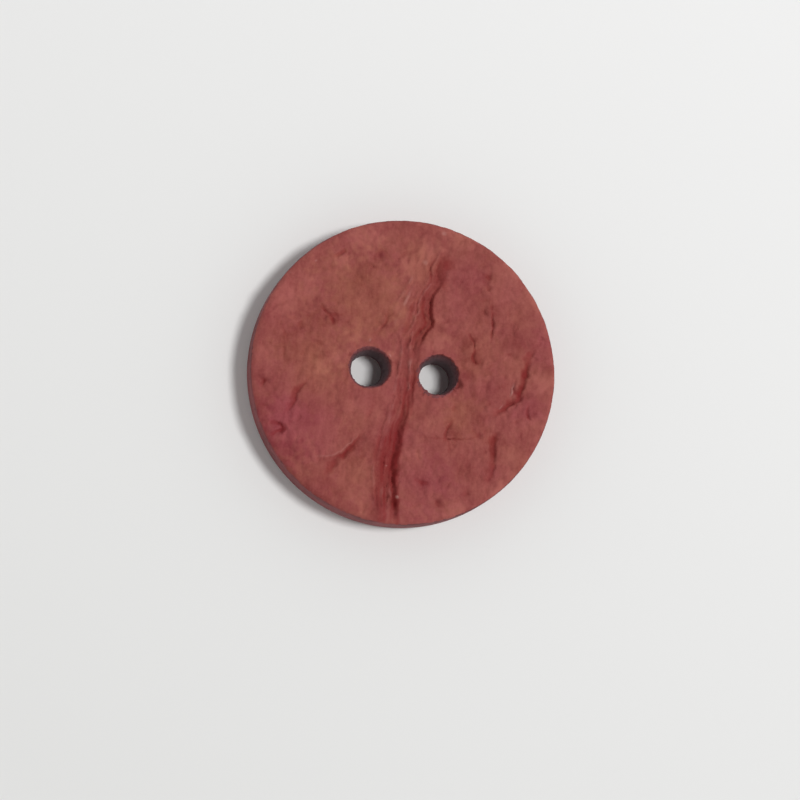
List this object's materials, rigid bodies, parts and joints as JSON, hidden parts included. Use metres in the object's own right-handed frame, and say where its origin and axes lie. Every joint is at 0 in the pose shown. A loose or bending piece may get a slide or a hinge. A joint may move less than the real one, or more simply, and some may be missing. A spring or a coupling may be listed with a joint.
{
  "type": "sew-through button",
  "caption": "Round flat sew-through button with thread holes, a matte dyed face with one long vein and fine cracks, a straight wall and a smooth flat back.",
  "frame": {"origin": "centre of the flat back, on the button's axis", "axes": "+Z out of the face, +X through both thread holes from left to right, +Y up the face along the vein"},
  "size_m": [0.02, 0.02, 0.0027],
  "materials": {
    "dyed_shell": "matte dyed hard shell, red-brown, with a rough natural skin on the face"
  },
  "bodies": {
    "root": {"button": "dyed_shell"}
  },
  "joints": []
}
